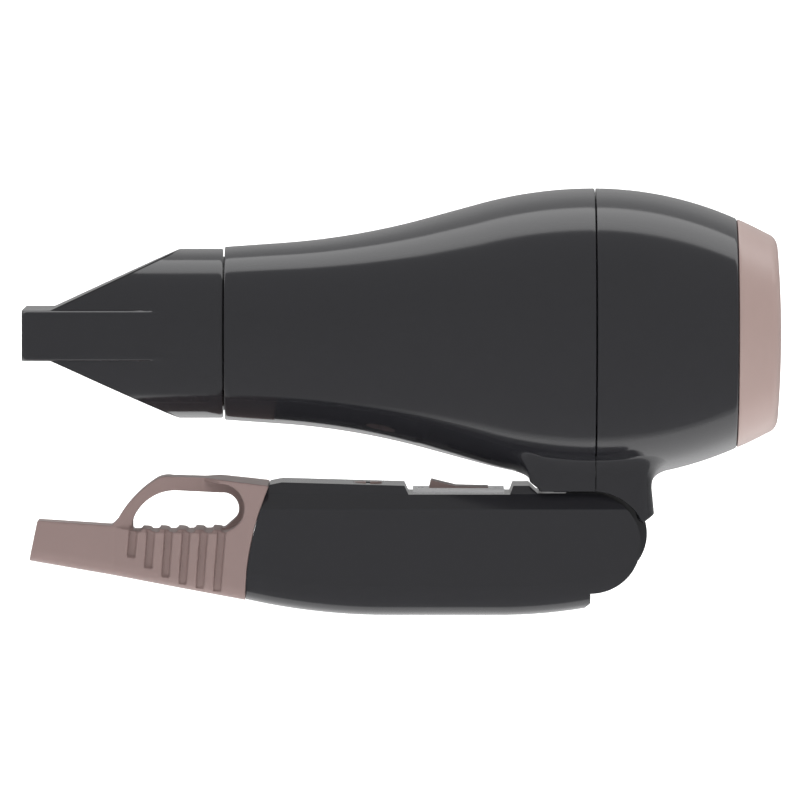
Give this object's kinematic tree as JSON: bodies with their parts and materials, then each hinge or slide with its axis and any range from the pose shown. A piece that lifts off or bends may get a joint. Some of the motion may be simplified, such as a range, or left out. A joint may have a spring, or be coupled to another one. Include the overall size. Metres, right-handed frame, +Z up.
{
  "type": "travel hair dryer",
  "caption": "Folding travel hair dryer with a round barrel, flat concentrator nozzle, intake grille, slide switch and looped handle end.",
  "frame": {"origin": "middle of the bounding box at its lowest level, where the folded handle's spine rests", "axes": "+X from the nozzle to the rear grille along the barrel, +Y across, +Z up from the folded handle to the barrel"},
  "size_m": [0.1892, 0.0724, 0.1063],
  "materials": {
    "charcoal_plastic": "satin gloss",
    "rose_plastic": "satin",
    "silver_plate": "fine brushed",
    "black_plastic": "moulded",
    "mica": "layered sheet",
    "heater_wire": "drawn wire",
    "steel": "turned",
    "mesh": "moulded screen",
    "board": "laminate",
    "copper": "drawn"
  },
  "bodies": {
    "housing": {"front_shell": "charcoal_plastic", "rear_shell": "charcoal_plastic", "rear_grille": "rose_plastic", "lint_screen": "mesh", "outlet_grille": "black_plastic", "mica_board_upright": "mica", "mica_board_flat": "mica", "heater_coils": "heater_wire", "mica_sleeve": "mica", "thermostat": "steel", "thermal_fuse": "steel", "rectifier_board": "board", "diodes": "black_plastic", "fan_duct": "black_plastic", "motor_can": "steel", "motor_end_cap": "black_plastic", "hinge_knuckle": "charcoal_plastic", "hinge_pin": "steel", "neck_screws": "steel"},
    "rotor": {"armature": "steel", "fan_impeller": "black_plastic"},
    "nozzle": {"nozzle": "charcoal_plastic"},
    "handle": {"handle_left": "charcoal_plastic", "handle_right": "charcoal_plastic", "end_piece": "rose_plastic", "cord_clamp": "black_plastic", "switch_plate": "silver_plate", "switch_body": "black_plastic", "selector_body": "black_plastic", "terminal_board": "board", "handle_leads": "copper", "handle_screws": "steel"},
    "slider": {"switch_slider": "rose_plastic"},
    "dial": {"voltage_dial": "rose_plastic"}
  },
  "joints": [
    {"name": "handle_fold", "type": "hinge", "parent": "housing", "child": "handle", "pos_m": [0.0468, 0, 0.0181], "axis": [0, -1, 0], "range_deg": [0, 108]},
    {"name": "nozzle_turn", "type": "hinge", "parent": "housing", "child": "nozzle", "pos_m": [-0.049, 0, 0.07], "axis": [1, 0, 0], "continuous": true},
    {"name": "fan_spin", "type": "hinge", "parent": "housing", "child": "rotor", "pos_m": [0.06, 0, 0.07], "axis": [1, 0, 0], "continuous": true},
    {"name": "switch_slide", "type": "slide", "parent": "handle", "child": "slider", "axis": [1, 0, 0], "range_m": [-0.0036, 0.0036]},
    {"name": "dial_turn", "type": "hinge", "parent": "handle", "child": "dial", "pos_m": [-0.0086, 0, 0.031], "axis": [0, 0, 1], "range_deg": [0, 90]}
  ]
}
